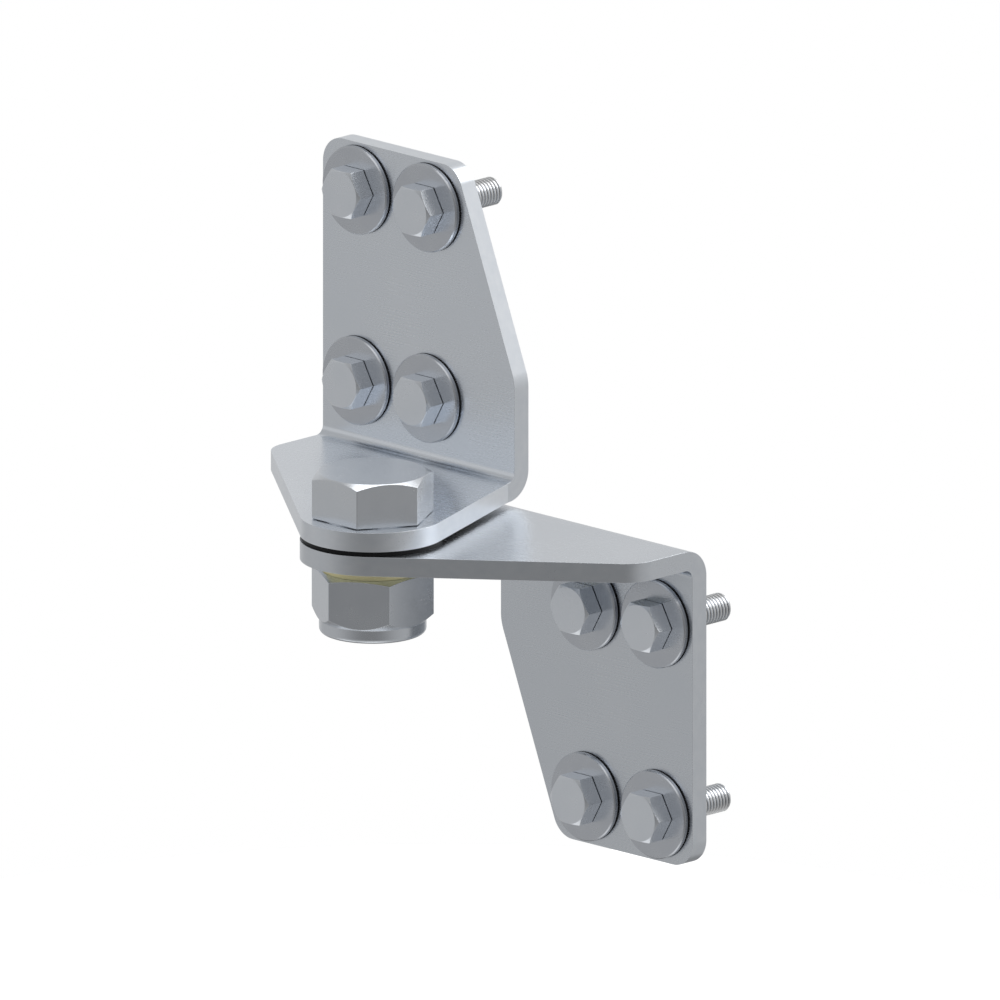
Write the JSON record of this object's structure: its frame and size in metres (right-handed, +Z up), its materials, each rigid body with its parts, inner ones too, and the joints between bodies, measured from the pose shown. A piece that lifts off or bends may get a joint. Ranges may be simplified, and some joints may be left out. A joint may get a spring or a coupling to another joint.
{
  "type": "offset gate hinge",
  "caption": "Offset gate hinge: folded steel brackets stacked on a vertical pivot bolt, bolted flat to the post below and to the gate leaf above.",
  "frame": {"origin": "centre of the four post bolts, on the back of the lower bracket's plate", "axes": "+X along the plates, +Y out of their backs into the post, +Z up along the hinge axis"},
  "size_m": [0.1425, 0.0978, 0.1821],
  "materials": {
    "bracket_steel": "matt zinc-plated sheet",
    "bolt_steel": "bright zinc-plated, turned and rolled threads",
    "washer_steel": "matt zinc-plated, tumbled",
    "bush_brass": "turned, dull",
    "seal_rubber": "matt black",
    "black_plastic": "matt black, sawn and turned",
    "nylon": "natural white nylon"
  },
  "bodies": {
    "post_side": {"lower_bracket": "bracket_steel", "flange_bush": "bush_brass", "thrust_washer": "black_plastic", "lower_seal_1": "seal_rubber", "lower_washer_1": "washer_steel", "lower_bolt_1": "bolt_steel", "lower_seal_2": "seal_rubber", "lower_washer_2": "washer_steel", "lower_bolt_2": "bolt_steel", "lower_seal_3": "seal_rubber", "lower_washer_3": "washer_steel", "lower_bolt_3": "bolt_steel", "lower_seal_4": "seal_rubber", "lower_washer_4": "washer_steel", "lower_bolt_4": "bolt_steel"},
    "leaf_side": {"upper_bracket": "bracket_steel", "pivot_bolt": "bolt_steel", "lock_nut": "bolt_steel", "nylon_ring": "nylon", "upper_seal_1": "seal_rubber", "upper_washer_1": "washer_steel", "upper_bolt_1": "bolt_steel", "upper_seal_2": "seal_rubber", "upper_washer_2": "washer_steel", "upper_bolt_2": "bolt_steel", "upper_seal_3": "seal_rubber", "upper_washer_3": "washer_steel", "upper_bolt_3": "bolt_steel", "upper_seal_4": "seal_rubber", "upper_washer_4": "washer_steel", "upper_bolt_4": "bolt_steel"}
  },
  "joints": [
    {"name": "leaf_swing", "type": "hinge", "parent": "post_side", "child": "leaf_side", "pos_m": [-0.04405, -0.058, 0.0501], "axis": [0, 0, 1], "range_deg": [0, 180]}
  ]
}
